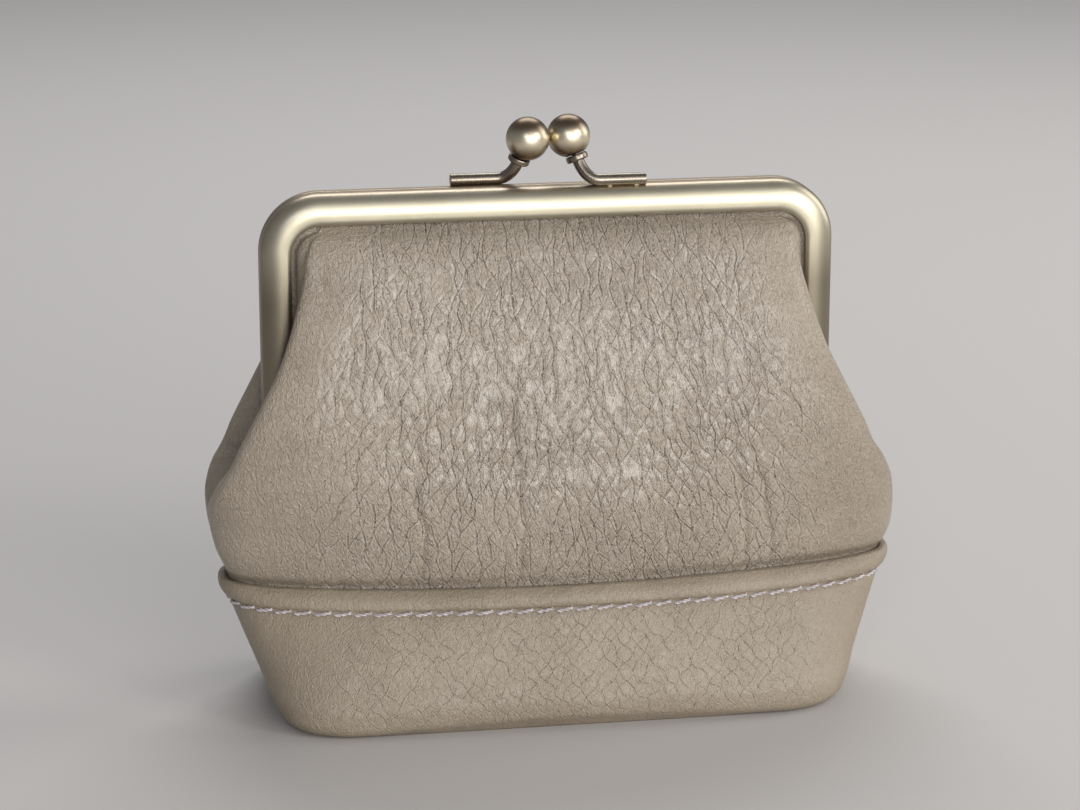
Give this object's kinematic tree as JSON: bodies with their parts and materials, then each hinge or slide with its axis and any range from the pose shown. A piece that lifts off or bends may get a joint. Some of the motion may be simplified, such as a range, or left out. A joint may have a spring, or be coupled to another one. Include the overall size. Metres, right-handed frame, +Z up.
{
  "type": "kiss-lock pouch",
  "caption": "Small leather pouch with a metal kiss-lock frame, a ball clasp on bent rods and a stitched, folded leather base that stands by itself.",
  "frame": {"origin": "the middle of the underside, where the pouch rests on the table", "axes": "+X along the frame's top bar to the right as seen from the front, -Y towards the front, +Z up"},
  "size_m": [0.146, 0.0576, 0.1235],
  "materials": {
    "frame": "antique, brushed, lightly darkened",
    "clasp_ball": "antique, satin",
    "rivet": "antique, dull",
    "panel_leather": "taupe, pebbled and creased, soft sheen",
    "base_leather": "taupe, fine grain, soft sheen"
  },
  "bodies": {
    "root": {"front_frame": "frame", "back_frame": "frame", "front_ball": "clasp_ball", "back_ball": "clasp_ball", "left_hinge_rivet": "rivet", "right_hinge_rivet": "rivet", "front_panel": "panel_leather", "back_panel": "panel_leather", "base_cup": "base_leather"}
  },
  "joints": []
}
